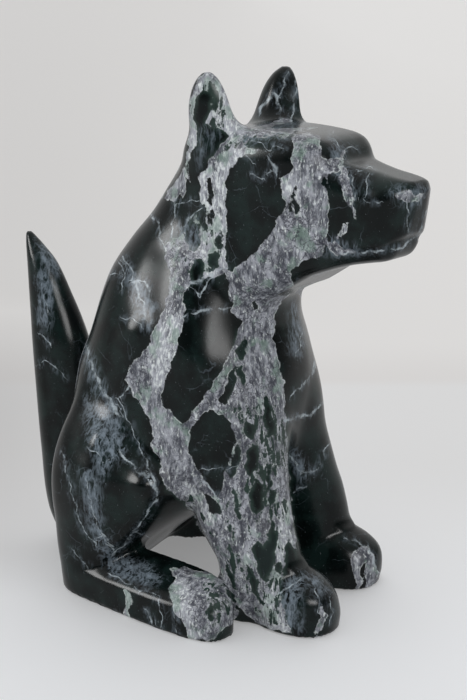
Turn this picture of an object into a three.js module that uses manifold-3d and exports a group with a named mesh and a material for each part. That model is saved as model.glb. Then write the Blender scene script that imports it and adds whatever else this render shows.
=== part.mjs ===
// A seated dog with pricked ears and a raised tail, carved from one block of dark serpentine.
// The dog faces +X, its left side is +Y, and it stands on the plane Z = 0.
// Every mass of the form is a pile of rounded cross sections, blended into its neighbours as a carver would.
import * as THREE from "three";
import { mergeVertices } from "three/addons/utils/BufferGeometryUtils.js";
import Module from "manifold-3d";

// Millimetres from the floor to the ear tips. All numbers of the pose below are hundredths of this height.
const height = 200;
const share = height / 100;

// Millimetres between the points of the grid on which the surface is found.
const facetSize = 4.9;

// How widely two masses melt into each other, in hundredths of the height.
const meltOf = {
  neck: 3,
  shoulder: 4.5,
  foreleg: 3,
  paw: 2.4,
  haunch: 4,
  foot: 3,
  toe: 1.6,
  tail: 3,
  head: 5,
  ear: 3,
};

// How square the cross sections of each mass are. Two is an ellipse.
const squarenessOf = {
  torso: 2.3,
  neck: 2.6,
  shoulder: 2,
  foreleg: 2.2,
  haunch: 2.6,
  foot: 3,
  toe: 2.4,
  tail: 2,
  ear: 2,
};

// The turn of the head towards the dog's right side, and of the hind feet outwards.
const headTurn = THREE.MathUtils.degToRad(-10);
const footTurn = THREE.MathUtils.degToRad(9);

// The heel about which a hind foot is turned: ahead of the ears, out from the centre plane.
const heel = [-28, 16.2];

// The carver set the left legs wider than the right ones, most at the floor.
const extraWidthOfLeft = { fore: 1.3, hind: 2, upTo: 35 };
const lagOfLeftPaw = { by: 0.75, upTo: 20 };

// Rows of each pile: height, rear end, front end, distance of its middle from the centre plane, half width.
const torsoRows = [
  [-5, -35, -28, 0, 17],
  [0, -35.5, -26, 0, 18],
  [5, -36, -21, 0, 19],
  [10, -36.5, -15.5, 0, 20],
  [15, -36.5, -9.5, 0, 20.5],
  [20, -36.8, -2.5, 0, 20.5],
  [25, -37, 4, 0, 20.5],
  [31, -37.2, 8.8, 0, 20],
  [38, -36.8, 10.4, 0, 19.2],
  [44, -35.6, 10.3, 0, 18.4],
  [50, -33, 9, 0, 17.5],
  [58, -30.4, 7, 0, 15.5],
  [63, -28.2, 6.6, 0, 14.3],
  [69, -23.8, 7, 0, 12.6],
  [74, -19.4, 7.5, 0, 11.4],
  [80, -15.2, 6, 0, 10],
  [85, -11.4, 3, 0, 8],
];
const neckRows = [
  [48, -8, 2, 0, 11],
  [56, -12, 6, 0, 12.8],
  [63, -14, 8.5, 0, 12.2],
  [69, -14, 9.5, 0, 11.4],
  [76, -13, 9, 0, 10.2],
  [84, -9, 6, 0, 8.4],
];
const shoulderRows = [
  [32, -7, 7.8, 8.6, 6],
  [36, -8.8, 8.4, 8.6, 7.6],
  [42, -10.4, 6.6, 9, 8.2],
  [50, -12, 4.2, 9.6, 8.6],
  [58, -13.5, 1.4, 9, 7.5],
  [66, -12, -1, 8, 5.5],
];
const forelegRows = [
  [-5, 5.5, 16.5, 9.8, 5.6],
  [0, 5, 16.5, 9.8, 6],
  [6, 1.4, 15.2, 10.2, 6.2],
  [11, -1.2, 15.4, 10.8, 6.5],
  [17.5, -4.6, 13.9, 10.8, 7],
  [23, -7.2, 12.5, 9.8, 7.3],
  [31, -8.1, 11, 8.2, 7.5],
  [35, -8.8, 10.2, 7.6, 7.3],
  [42, -9, 8.4, 7.4, 7],
  [48, -6, 5, 7.4, 5],
];
const pawRows = [
  [-5, 7, 21.8, 10.8, 5.8],
  [0, 7, 22.3, 10.8, 6.4],
  [3, 7, 22.6, 10.8, 6.5],
  [6.5, 7.6, 21.6, 10.8, 6],
  [9.2, 9.5, 19.2, 10.8, 4.6],
  [10.8, 12, 16.5, 10.8, 2.5],
];
const haunchRows = [
  [-5, -30, -21, 15.5, 5.6],
  [0, -31.5, -20, 15.5, 6],
  [8, -33, -18.5, 15.8, 6.4],
  [15, -33.6, -12.5, 16.2, 7.2],
  [20, -34.2, -9, 16.5, 7.8],
  [25, -34.5, -6.5, 16.7, 8.2],
  [29, -34.2, -8.5, 16.2, 8],
  [33, -33, -13.5, 15, 7],
  [38, -30.5, -19, 12.4, 5],
  [45, -28.5, -22, 9, 3],
  [51, -27, -23, 6, 2],
];
const footRows = [
  [-5, -2.4, 35.3, 0.4, 5.2],
  [0, -2.6, 35.8, 0.3, 5.5],
  [4, -2.4, 35.8, 0.3, 5.5],
  [7, -0.6, 34.6, 0.4, 4.8],
  [8.7, 2.5, 32.6, 0.4, 3.4],
  [9.6, 8, 29, 0.4, 1.6],
];
const toeRows = [
  [1.6, 0.8, 7.6, 13.3, 2.4],
  [4, 0.3, 8, 13.4, 3.3],
  [7, 0.8, 7.6, 13.4, 3],
  [8.6, 2.2, 6.4, 13.4, 2],
];
const tailRows = [
  [-5, -43, -34, 0, 5.2],
  [0, -44.5, -34.5, 0, 5.4],
  [8, -49, -35, 0, 5.4],
  [21, -50.5, -36, 0, 5.2],
  [34, -51.3, -37, 0, 5],
  [44, -51.8, -38.7, 0, 4.7],
  [49, -52, -40.5, 0, 4.2],
  [53, -52.2, -42.4, 0, 3.7],
  [60, -52.6, -46, 0, 2.6],
  [63.5, -52.9, -49.2, 0, 1.6],
  [66, -53, -51.9, 0, 0.6],
];
const earRows = [
  [73, -7.4, 3, 5.6, 2.4],
  [79, -7.8, 4.4, 7.4, 3.6],
  [86, -7.2, 4.6, 8.4, 4],
  [90, -6.6, 4, 8.8, 3.8],
  [94, -5.9, 2.8, 9.8, 3.3],
  [96.8, -4.9, 1.9, 10.3, 2.7],
  [98.9, -3.4, 0.7, 10.7, 1.9],
  [100, -2, -0.5, 11, 0.8],
];

// The head seen from its side: points from the nape over the brow and the nose, back along the jaw.
const headSide = soften([
  [-9, 84],
  [-8, 88],
  [-3, 90.2],
  [5, 90.7],
  [14, 90.3],
  [18.5, 89.7],
  [21, 88],
  [22.8, 86],
  [24.6, 85.3],
  [34, 83.1],
  [34.2, 83],
  [35, 81.4],
  [35, 81.2],
  [33.6, 73.8],
  [32.6, 71.4],
  [31, 70.3],
  [27, 69.5],
  [19, 67.2],
  [15.5, 64.4],
  [11, 61.6],
  [6, 62],
  [0, 66],
  [-6, 73],
  [-10, 79],
]);

// The head seen from above: distance ahead of the ears, half width, rounding of the edges.
const headPlan = [
  [-14, 7, 4],
  [-8, 10, 4.5],
  [0, 11.5, 5],
  [8, 11.5, 5],
  [15, 10.6, 4.6],
  [19, 9.4, 4],
  [23, 8, 3],
  [29, 6.6, 2.4],
  [33, 5.6, 2.1],
  [38, 4.4, 2.1],
];

// Cuts the corners of a closed outline twice, so that it turns smoothly.
function soften(points) {
  let soft = points;
  for (let round = 0; round < 2; round += 1)
    soft = soft.flatMap((p, i) => {
      const q = soft[(i + 1) % soft.length];
      return [0.25, 0.75].map((t) => [p[0] + t * (q[0] - p[0]), p[1] + t * (q[1] - p[1])]);
    });
  return soft;
}

// A smooth curve through the rows' values, at the first column's value z.
function rowAt(rows, z) {
  let i = 0;
  while (i < rows.length - 2 && z > rows[i + 1][0]) i += 1;
  const r0 = rows[Math.max(i - 1, 0)];
  const r1 = rows[i];
  const r2 = rows[i + 1];
  const r3 = rows[Math.min(i + 2, rows.length - 1)];
  const span = r2[0] - r1[0];
  const t = THREE.MathUtils.clamp((z - r1[0]) / span, 0, 1);
  const t2 = t * t;
  const t3 = t2 * t;
  return r1.map((v, k) => {
    const m1 = ((r2[k] - r0[k]) / (r2[0] - r0[0])) * span;
    const m2 = ((r3[k] - r1[k]) / (r3[0] - r1[0])) * span;
    return (2 * t3 - 3 * t2 + 1) * v + (t3 - 2 * t2 + t) * m1 + (3 * t2 - 2 * t3) * r2[k] + (t3 - t2) * m2;
  });
}

// Signed distance, roughly, from a pile of superelliptic sections, at x ahead and y aside.
function pile(rows, squareness, x, y, z) {
  const level = THREE.MathUtils.clamp(z, rows[0][0], rows[rows.length - 1][0]);
  const [, rear, front, middle, half] = rowAt(rows, level);
  const ahead = x - (rear + front) / 2;
  const aside = y - middle;
  const reach = (front - rear) / 2;
  const sum = Math.abs(ahead / reach) ** squareness + Math.abs(aside / half) ** squareness;
  const rim = Math.max(sum ** (1 / squareness), 1e-3);
  const flat = (Math.hypot(ahead, aside) + 1e-6) * (1 - 1 / rim);
  const beyond = Math.abs(z - level);
  const below = Math.min(z - rows[0][0], rows[rows.length - 1][0] - z);
  return beyond > 0 ? Math.hypot(Math.max(flat, 0), beyond) : Math.max(flat, -below);
}

// Signed distance from a closed outline of straight sides.
function outline(points, x, y) {
  let nearest = Infinity;
  let inside = false;
  for (let i = 0, j = points.length - 1; i < points.length; j = i, i += 1) {
    const [ax, ay] = points[i];
    const [bx, by] = points[j];
    const t = THREE.MathUtils.clamp(((x - ax) * (bx - ax) + (y - ay) * (by - ay)) / ((bx - ax) ** 2 + (by - ay) ** 2), 0, 1);
    nearest = Math.min(nearest, Math.hypot(x - ax - t * (bx - ax), y - ay - t * (by - ay)));
    if (ay > y !== by > y && x < ((bx - ax) * (y - ay)) / (by - ay) + ax) inside = !inside;
  }
  return inside ? -nearest : nearest;
}

// The head is the block that both its side outline and its plan leave, with rounded edges.
function head(x, y, z) {
  const ahead = THREE.MathUtils.clamp(x, headPlan[0][0], headPlan[headPlan.length - 1][0]);
  const [, half, rounding] = rowAt(headPlan, ahead);
  const a = outline(headSide, x, z) + rounding;
  const b = Math.abs(y) - half + rounding;
  return Math.min(Math.max(a, b), 0) + Math.hypot(Math.max(a, 0), Math.max(b, 0)) - rounding;
}

// The union of two masses with the crease between them filled over the given width.
function melt(a, b, width) {
  const h = Math.max(width - Math.abs(a - b), 0) / width;
  return Math.min(a, b) - (h * h * width) / 4;
}

// How much of an offset at the floor is left at height z.
function fading(z, upTo) {
  return THREE.MathUtils.clamp(1 - z / upTo, 0, 1.25);
}

// Signed distance from the dog's surface. The point is in hundredths of the height.
function dog(x, y, z) {
  const out = Math.abs(y);
  const left = y > 0 ? 1 : 0;
  let d = pile(torsoRows, squarenessOf.torso, x, y, z);
  d = melt(d, pile(neckRows, squarenessOf.neck, x, y, z), meltOf.neck);
  d = melt(d, pile(shoulderRows, squarenessOf.shoulder, x, out, z), meltOf.shoulder);

  const legX = x + (left - 0.5) * 2 * lagOfLeftPaw.by * fading(z, lagOfLeftPaw.upTo);
  const legY = Math.abs(y - extraWidthOfLeft.fore * fading(z, extraWidthOfLeft.upTo));
  let fore = pile(forelegRows, squarenessOf.foreleg, legX, legY, z);
  fore = melt(fore, pile(pawRows, squarenessOf.foreleg, legX, legY, z), meltOf.paw);
  d = melt(d, fore, meltOf.foreleg);

  const hindY = out - left * extraWidthOfLeft.hind * fading(z, extraWidthOfLeft.upTo);
  const fromHeel = [x - heel[0], hindY - heel[1]];
  const along = fromHeel[0] * Math.cos(footTurn) + fromHeel[1] * Math.sin(footTurn);
  const across = fromHeel[1] * Math.cos(footTurn) - fromHeel[0] * Math.sin(footTurn);
  let hind = pile(haunchRows, squarenessOf.haunch, x, hindY, z);
  hind = melt(hind, pile(footRows, squarenessOf.foot, along, across, z), meltOf.foot);
  hind = melt(hind, pile(toeRows, squarenessOf.toe, x, hindY, z), meltOf.toe);
  d = melt(d, hind, meltOf.haunch);

  d = melt(d, pile(tailRows, squarenessOf.tail, x, y, z), meltOf.tail);

  const headX = x * Math.cos(headTurn) + y * Math.sin(headTurn);
  const headY = y * Math.cos(headTurn) - x * Math.sin(headTurn);
  d = melt(d, head(headX, headY, z), meltOf.head);
  return melt(d, pile(earRows, squarenessOf.ear, headX, Math.abs(headY), z), meltOf.ear);
}

// The crossed edges of one grid cell, in groups that each belong to one sheet of the surface.
// A corner is numbered by its bits x, y, z, and an edge is three times its low corner plus its axis.
function sheets(inside) {
  const group = new Map();
  const find = (e) => (group.get(e) === e ? e : find(group.get(e)));
  const crossed = (low, axis) => inside[low] !== inside[low | (1 << axis)];
  for (let low = 0; low < 8; low += 1)
    for (let axis = 0; axis < 3; axis += 1)
      if (!((low >> axis) & 1) && crossed(low, axis)) group.set(3 * low + axis, 3 * low + axis);
  for (let axis = 0; axis < 3; axis += 1)
    for (const side of [0, 1]) {
      const [p, q] = [(axis + 1) % 3, (axis + 2) % 3];
      const base = side << axis;
      const ring = [base, base | (1 << p), base | (1 << p) | (1 << q), base | (1 << q)];
      const rim = [3 * ring[0] + p, 3 * ring[1] + q, 3 * ring[3] + p, 3 * ring[0] + q];
      const cut = rim.filter((e) => group.has(e));
      if (cut.length === 2) group.set(find(cut[0]), find(cut[1]));
      if (cut.length === 4)
        ring.forEach((corner, r) => {
          if (inside[corner]) group.set(find(rim[r]), find(rim[(r + 3) % 4]));
        });
    }
  const found = new Map();
  for (const e of group.keys()) {
    const root = find(e);
    if (!found.has(root)) found.set(root, []);
    found.get(root).push(e);
  }
  return [...found.values()];
}

// The surface where the field is zero, by one point for each sheet of it in each grid cell.
function skin(field, low, high, step) {
  const n = low.map((v, m) => Math.ceil((high[m] - v) / step));
  const at = (i, j, k) => i + (n[0] + 1) * (j + (n[1] + 1) * k);
  const value = new Float64Array((n[0] + 1) * (n[1] + 1) * (n[2] + 1));
  const everyCell = (start, visit) => {
    for (let k = start; k < n[2]; k += 1)
      for (let j = start; j < n[1]; j += 1) for (let i = start; i < n[0]; i += 1) visit(i, j, k);
  };
  for (let k = 0; k <= n[2]; k += 1)
    for (let j = 0; j <= n[1]; j += 1)
      for (let i = 0; i <= n[0]; i += 1)
        value[at(i, j, k)] = field(low[0] + i * step, low[1] + j * step, low[2] + k * step);

  const pointOf = new Map();
  const points = [];
  const bits = (c) => [c & 1, (c >> 1) & 1, (c >> 2) & 1];
  everyCell(0, (i, j, k) => {
    const v = [0, 1, 2, 3, 4, 5, 6, 7].map((c) => value[at(i + (c & 1), j + ((c >> 1) & 1), k + (c >> 2))]);
    const inside = v.map((f) => f < 0);
    if (inside.every((f) => f === inside[0])) return;
    for (const sheet of sheets(inside)) {
      const sum = [0, 0, 0];
      for (const e of sheet) {
        const corner = Math.floor(e / 3);
        const axis = e % 3;
        const t = v[corner] / (v[corner] - v[corner | (1 << axis)]);
        bits(corner).forEach((b, m) => {
          sum[m] += b + (m === axis ? t : 0);
        });
      }
      const p = [i, j, k].map((c, m) => low[m] + step * (c + sum[m] / sheet.length));
      for (const e of sheet) pointOf.set(24 * at(i, j, k) + e, points.length / 3);
      points.push(...settle(field, p, step));
    }
  });

  const faces = [];
  const around = [
    [[0, 0, 0], [0, 1, 0], [0, 1, 1], [0, 0, 1]],
    [[0, 0, 0], [0, 0, 1], [1, 0, 1], [1, 0, 0]],
    [[0, 0, 0], [1, 0, 0], [1, 1, 0], [0, 1, 0]],
  ];
  everyCell(1, (i, j, k) => {
    const here = value[at(i, j, k)] < 0;
    for (let axis = 0; axis < 3; axis += 1) {
      const next = [0, 1, 2].map((m) => (m === axis ? 1 : 0));
      const there = value[at(i + next[0], j + next[1], k + next[2])] < 0;
      if (here === there) continue;
      const q = around[axis].map(([a, b, c]) =>
        pointOf.get(24 * at(i - a, j - b, k - c) + 3 * (a + 2 * b + 4 * c) + axis));
      if (there) q.reverse();
      const gap = (a, b) => Math.hypot(...[0, 1, 2].map((m) => points[3 * q[a] + m] - points[3 * q[b] + m]));
      if (gap(0, 2) < gap(1, 3)) faces.push(q[0], q[1], q[2], q[0], q[2], q[3]);
      else faces.push(q[1], q[2], q[3], q[1], q[3], q[0]);
    }
  });
  return { points: new Float32Array(points), faces: new Uint32Array(faces) };
}

// Moves a point onto the surface along the field's slope, by no more than half a cell.
function settle(field, p, step) {
  const e = step * 0.05;
  const start = [...p];
  for (let round = 0; round < 4; round += 1) {
    const f = field(...p);
    const slope = [0, 1, 2].map((m) => {
      const q = [...p];
      q[m] += e;
      return (field(...q) - f) / e;
    });
    const size = slope[0] ** 2 + slope[1] ** 2 + slope[2] ** 2 + 1e-9;
    for (let m = 0; m < 3; m += 1) {
      const moved = p[m] - (f * slope[m]) / size;
      p[m] = THREE.MathUtils.clamp(moved, start[m] - step * 0.5, start[m] + step * 0.5);
    }
  }
  return p;
}

const wasm = await Module();
wasm.setup();

function solidOf(geometry) {
  const bare = geometry.clone();
  bare.deleteAttribute("normal");
  bare.deleteAttribute("uv");
  const merged = mergeVertices(bare);
  return new wasm.Manifold(
    new wasm.Mesh({
      numProp: 3,
      vertProperties: merged.attributes.position.array,
      triVerts: new Uint32Array(merged.index.array),
    }),
  );
}

function geometryOf(solid) {
  const mesh = solid.getMesh();
  const geometry = new THREE.BufferGeometry();
  geometry.setAttribute("position", new THREE.BufferAttribute(mesh.vertProperties, 3));
  geometry.setIndex(new THREE.BufferAttribute(mesh.triVerts, 1));
  return geometry;
}

const raw = skin(dog, [-58, -34, -9.3], [46, 34, 106], facetSize / share);
const rough = new THREE.BufferGeometry();
rough.setAttribute("position", new THREE.BufferAttribute(raw.points, 3));
rough.setIndex(new THREE.BufferAttribute(raw.faces, 1));
rough.scale(share, share, share);

// The carving is cut flat where it stands.
const floorCut = new THREE.BoxGeometry(4 * height, 4 * height, height);
floorCut.translate(0, 0, -height / 2);
const carved = geometryOf(solidOf(rough).subtract(solidOf(floorCut)));
carved.computeBoundingBox();
const { min, max } = carved.boundingBox;
carved.translate(-(min.x + max.x) / 2, -(min.y + max.y) / 2, -min.z);
carved.computeVertexNormals();

const serpentine = new THREE.MeshStandardMaterial({ color: 0x24302d, roughness: 0.35, metalness: 0 });
const statue = new THREE.Mesh(carved, serpentine);
statue.name = "dog";

const carving = new THREE.Group();
carving.add(statue);
export default carving;
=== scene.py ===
import math

import bpy
import numpy as np
from mathutils import Matrix, Vector


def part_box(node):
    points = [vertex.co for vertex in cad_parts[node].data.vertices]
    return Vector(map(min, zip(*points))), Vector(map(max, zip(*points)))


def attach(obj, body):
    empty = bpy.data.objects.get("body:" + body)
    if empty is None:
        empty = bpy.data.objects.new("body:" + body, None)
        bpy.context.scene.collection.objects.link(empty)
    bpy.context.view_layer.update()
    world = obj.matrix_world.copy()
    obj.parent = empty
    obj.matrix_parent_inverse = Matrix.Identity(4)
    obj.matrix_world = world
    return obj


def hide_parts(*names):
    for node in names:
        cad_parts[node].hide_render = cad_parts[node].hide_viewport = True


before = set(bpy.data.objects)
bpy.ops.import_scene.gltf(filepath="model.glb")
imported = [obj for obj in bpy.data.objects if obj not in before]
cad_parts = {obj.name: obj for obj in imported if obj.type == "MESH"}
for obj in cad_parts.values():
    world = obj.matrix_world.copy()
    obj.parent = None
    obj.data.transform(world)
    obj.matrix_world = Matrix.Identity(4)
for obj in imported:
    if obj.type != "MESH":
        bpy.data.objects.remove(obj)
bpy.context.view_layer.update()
dogLow, dogHigh = (np.array(corner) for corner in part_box("dog"))
share = (dogHigh[2] - dogLow[2]) / 100  # the form is laid out in hundredths of the dog's height
print("frame loaded, one share is", round(share * 1000, 3), "mm")


# A new object at the origin, in the scene.
def addObject(name, data):
    made = bpy.data.objects.new(name, data)
    bpy.context.scene.collection.objects.link(made)
    return made


# The form

# each stack is a pile of level sections: height, rear, front, middle across and half width, in shares
stacks = {
    "torso": {
        "square": 2.3,  # 2 is an ellipse, more is nearer a rectangle
        "rows": [
            [-5, -35, -28, 0, 17], [0, -35.5, -26, 0, 18], [5, -36, -21, 0, 19],
            [10, -36.5, -15.5, 0, 20], [15, -36.5, -9.5, 0, 20.5], [20, -36.8, -2.5, 0, 20.5],
            [25, -37, 4, 0, 20.5], [31, -37.2, 8.8, 0, 20], [38, -36.8, 10.4, 0, 19.2],
            [44, -35.6, 10.3, 0, 18.4], [50, -33, 9, 0, 17.5], [58, -30.4, 7, 0, 15.5],
            [63, -28.2, 6.6, 0, 14.3], [69, -23.8, 7, 0, 12.6], [74, -19.4, 7.5, 0, 11.4],
            [80, -15.2, 6, 0, 10], [85, -11.4, 3, 0, 8],
        ],
    },
    "neck": {
        "square": 2.6,
        "melt": 3,  # how wide the stack melts into what is there before it
        "rows": [
            [48, -8, 2, 0, 11], [56, -12, 6, 0, 12.8], [63, -14, 8.5, 0, 12.2], [69, -14, 9.5, 0, 11.4],
            [76, -13, 9, 0, 10.2], [84, -9, 6, 0, 8.4],
        ],
    },
    "shoulder": {
        "square": 2,
        "melt": 4.5,
        "rows": [
            [32, -7, 7.8, 8.6, 6], [36, -8.8, 8.4, 8.6, 7.6], [42, -10.4, 6.6, 9, 8.2],
            [50, -12, 4.2, 9.6, 8.6], [58, -13.5, 1.4, 9, 7.5], [66, -12, -1, 8, 5.5],
        ],
    },
    "foreleg": {
        "square": 2.2,
        "melt": 3,
        "rows": [
            [-5, 5.5, 16.5, 9.8, 5.6], [0, 5, 16.5, 9.8, 6], [6, 1.4, 15.2, 10.2, 6.2],
            [11, -1.2, 15.4, 10.8, 6.5], [17.5, -4.6, 13.9, 10.8, 7], [23, -7.2, 12.5, 9.8, 7.3],
            [31, -8.1, 11, 8.2, 7.5], [35, -8.8, 10.2, 7.6, 7.3], [42, -9, 8.4, 7.4, 7],
            [48, -6, 5, 7.4, 5],
        ],
    },
    "paw": {
        "square": 2.2,
        "melt": 2.4,
        "rows": [
            [-5, 7, 21.8, 10.8, 5.8], [0, 7, 22.3, 10.8, 6.4], [3, 7, 22.6, 10.8, 6.5],
            [6.5, 7.6, 21.6, 10.8, 6], [9.2, 9.5, 19.2, 10.8, 4.6], [10.8, 12, 16.5, 10.8, 2.5],
        ],
    },
    "haunch": {
        "square": 2.6,
        "melt": 4,
        "rows": [
            [-5, -30, -21, 15.5, 5.6], [0, -31.5, -20, 15.5, 6], [8, -33, -18.5, 15.8, 6.4],
            [15, -33.6, -12.5, 16.2, 7.2], [20, -34.2, -9, 16.5, 7.8], [25, -34.5, -6.5, 16.7, 8.2],
            [29, -34.2, -8.5, 16.2, 8], [33, -33, -13.5, 15, 7], [38, -30.5, -19, 12.4, 5],
            [45, -28.5, -22, 9, 3], [51, -27, -23, 6, 2],
        ],
    },
    "foot": {
        "square": 3,
        "melt": 3,
        "rows": [
            [-5, -2.4, 35.3, 0.4, 5.2], [0, -2.6, 35.8, 0.3, 5.5], [5, -2.2, 35.8, 0.3, 5.5],
            [5.9, -1.6, 35.5, 0.15, 5.3], [6.5, -1, 35.2, -0.2, 5], [7.1, -0.2, 34.8, -0.6, 4.5],
            [7.9, 0.8, 34, -1.3, 3.7], [8.7, 2.4, 32.6, -1.9, 2.7], [9.5, 6, 30, -2.4, 1.5],
        ],
    },
    "toe": {
        "square": 2.4,
        "melt": 1.6,
        "rows": [
            [-5, 1.2, 7.2, 13.4, 2], [1.6, 0.8, 7.6, 13.4, 2.6], [4, 0.3, 8, 13.4, 3.3],
            [7, 0.8, 7.6, 13.4, 3], [8.6, 2.2, 6.4, 13.4, 2],
        ],
    },
    "tail": {
        "square": 2,
        "melt": 3,
        "rows": [
            [-5, -43, -34, 0, 5.2], [0, -44.5, -34.5, 0, 5.4], [8, -49, -35, 0, 5.4],
            [21, -50.5, -36, 0, 5.2], [34, -51.3, -37, 0, 5], [44, -51.8, -38.7, 0, 4.7],
            [49, -52, -40.5, 0, 4.2], [53, -52.2, -42.4, 0, 3.7], [60, -52.6, -46, 0, 2.6],
            [63.5, -52.9, -49.2, 0, 1.6], [66, -53, -51.9, 0, 0.6],
        ],
    },
    "ear": {
        "square": 2,
        "frontSquare": 1.3,  # the front of an ear comes to a ridge
        "melt": 3,
        "rows": [
            [73, -7.4, 3, 5.6, 2.4], [79, -7.8, 4.4, 7.4, 3.6], [86, -7.2, 4.6, 8.4, 4],
            [90, -6.6, 4, 8.8, 3.8], [94, -5.9, 2.8, 9.8, 3.3], [96.8, -4.9, 1.9, 10.3, 2.7],
            [98.9, -3.4, 0.7, 10.7, 1.9], [100, -2, -0.5, 11, 0.8],
        ],
    },
}

headForm = {
    "turn": -10,  # degrees to the dog's right
    "melt": 5,
    "side": [  # the outline from the side: ahead and up, in shares
        (-9, 84), (-8, 88), (-3, 90.2), (5, 90.7), (14, 90.3), (19.4, 89.6), (21.4, 88), (22.3, 86.2),
        (23.5, 85.6), (35, 83.5), (35.5, 83.4), (36.5, 81.8), (36.4, 81.4), (34.6, 73.6), (33.6, 70.8),
        (31.8, 69.2), (27, 68.3), (19, 66.6), (15.5, 64.4), (11, 61.6), (6, 62), (0, 66), (-6, 73),
        (-10, 79),
    ],
    "plan": [  # ahead, half width and the rounding of the edges
        [-14, 7, 4], [-8, 10, 4.5], [0, 11.5, 5], [8, 11.5, 5], [15, 10.6, 4.6], [19, 9.4, 4],
        [23, 8, 4.4], [29, 6.8, 4.6], [32, 6.3, 3.9], [34.2, 5.2, 3.1], [37, 2.6, 2.4],
    ],
    "mouthLine": [(15, 71.9), (20, 72), (28, 71.7), (31.5, 72.4), (34.6, 74.2)],  # ahead and up
    "mouthDepth": 0.34,
    "mouthWidth": 0.42,
    "mouthFade": 5,  # over how much of its rear end the mouth line comes in
    "jawSetBack": 0.55,
    "jawEdge": 0.8,  # over how much height the jaw steps back under the mouth line
    "jawFrom": 18,  # how far ahead the jaw begins to step back
    "jawFade": 8,
}

# local swellings, and hollows where the rise is below zero: centre, extent each way and rise
swells = {
    "hipKnob": ((-20.7, 21.8, 33.7), (3.2, 4, 3.2), 1.1),
    "hipCorner": ((-31, 24.5, 31.5), (7, 7, 9), -2.6),
    "hipFold": ((-17, 24, 29), (4.5, 5, 6), -0.8),
    "kneeKnob": ((-9.2, 23.2, 27), (2.7, 4, 2.8), 1.7),
    "backSwell": ((-15.6, 15.9, 53.8), (3.4, 4, 3.4), 1.0),
    "belly": ((-5, 0, 16), (8, 12, 6), 1.4),
    "pawTop": ((21.5, 13, 8), (4, 5, 4), 0.9),
}

stance = {
    "middle": (-8.75, 0.975, 0),  # the point of the form that stands over the middle of the CAD box
    "footHeel": (-28, 16.2),  # the point a hind foot turns about
    "footTurn": 9,  # degrees that the hind feet turn out
    "foreWider": 1.3,  # the left legs stand wider than the right ones, in shares
    "hindWider": 2.0,
    "widerBelow": 35,
    "lag": 0.75,  # the left forepaw stands further back than the right one
    "lagBelow": 20,
}

netStep = 0.56  # between the points of the net, in shares
netLow = (-57.5, -33.5, -9.1 * netStep)  # the corners of the grid that the net is worked out on
netHigh = (45, 34, 103)
nearBand = 2.6  # how far from the surface the fine grid reaches, in coarse steps
tableLevels = 600
reach = 8.5  # shares past which a stack no longer matters to the surface


# The curve through the rows with slopes from the neighbours on both sides, read at even levels.
def curveThrough(rows):
    rows = np.array(rows, float)
    levels = np.linspace(rows[0, 0], rows[-1, 0], tableLevels)
    i = np.clip(np.searchsorted(rows[:, 0], levels, side="right") - 1, 0, len(rows) - 2)
    before, start = rows[np.maximum(i - 1, 0)], rows[i]
    end, after = rows[i + 1], rows[np.minimum(i + 2, len(rows) - 1)]
    span = (end[:, 0] - start[:, 0])[:, None]
    t = (levels - start[:, 0])[:, None] / span
    slopeIn = (end - before) / (end[:, :1] - before[:, :1]) * span
    slopeOut = (after - start) / (after[:, :1] - start[:, :1]) * span
    curve = (2 * t**3 - 3 * t**2 + 1) * start + (t**3 - 2 * t**2 + t) * slopeIn
    curve += (3 * t**2 - 2 * t**3) * end + (t**3 - t**2) * slopeOut
    return levels, curve


curves = {name: curveThrough(stack["rows"]) for name, stack in stacks.items()}


# Distance to a stack: the superellipse of its section at that level, closed flat above and below.
def stackDistance(name, x, y, z):
    levels, curve = curves[name]
    half = np.abs(curve[:, 3]).max() + curve[:, 4].max()
    close = (z > levels[0] - reach) & (z < levels[-1] + reach) & (np.abs(y) < half + reach)
    close &= (x > curve[:, 1].min() - reach) & (x < curve[:, 2].max() + reach)
    distance = np.full(x.shape, reach)
    x, y, z = x[close], y[close], z[close]
    level = np.clip(z, levels[0], levels[-1])
    rear, front, middle, halfWidth = (np.interp(level, levels, curve[:, k]) for k in (1, 2, 3, 4))
    ahead = x - (rear + front) / 2
    across = y - middle
    square = stacks[name]["square"]
    if "frontSquare" in stacks[name]:
        square = np.where(ahead > 0, stacks[name]["frontSquare"], square)
    outward = np.abs(ahead / ((front - rear) / 2)) ** square + np.abs(across / halfWidth) ** square
    outward = np.maximum(outward ** (1 / square), 1e-3)
    level2d = (np.hypot(ahead, across) + 1e-6) * (1 - 1 / outward)
    beyond = np.abs(z - level)
    capped = np.maximum(level2d, -np.minimum(z - levels[0], levels[-1] - z))
    distance[close] = np.where(beyond > 0, np.hypot(np.maximum(level2d, 0), beyond), capped)
    return distance


# Each corner cut at a quarter of its sides, twice over, so that the outline runs in soft curves.
def soften(points, rounds=2):
    points = np.array(points, float)
    for _ in range(rounds):
        following = np.roll(points, -1, axis=0)
        points = np.stack([0.75 * points + 0.25 * following, 0.25 * points + 0.75 * following], axis=1)
        points = points.reshape(-1, 2)
    return points


# Signed distance to a closed outline: the nearest side, below zero where a ray crosses an odd count.
def outlineDistance(points, x, y):
    nearest = np.full(x.shape, 1e9)
    inside = np.zeros(x.shape, bool)
    for a, b in zip(np.roll(points, 1, axis=0), points):
        d = b - a
        t = np.clip(((x - a[0]) * d[0] + (y - a[1]) * d[1]) / (d @ d), 0, 1)
        nearest = np.minimum(nearest, np.hypot(x - a[0] - t * d[0], y - a[1] - t * d[1]))
        if a[1] != b[1]:
            inside ^= ((a[1] > y) != (b[1] > y)) & (x < d[0] * (y - a[1]) / d[1] + a[0])
    return np.where(inside, -nearest, nearest)


headSide = soften(headForm["side"])
planLevels, planCurve = curveThrough(headForm["plan"])


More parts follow.
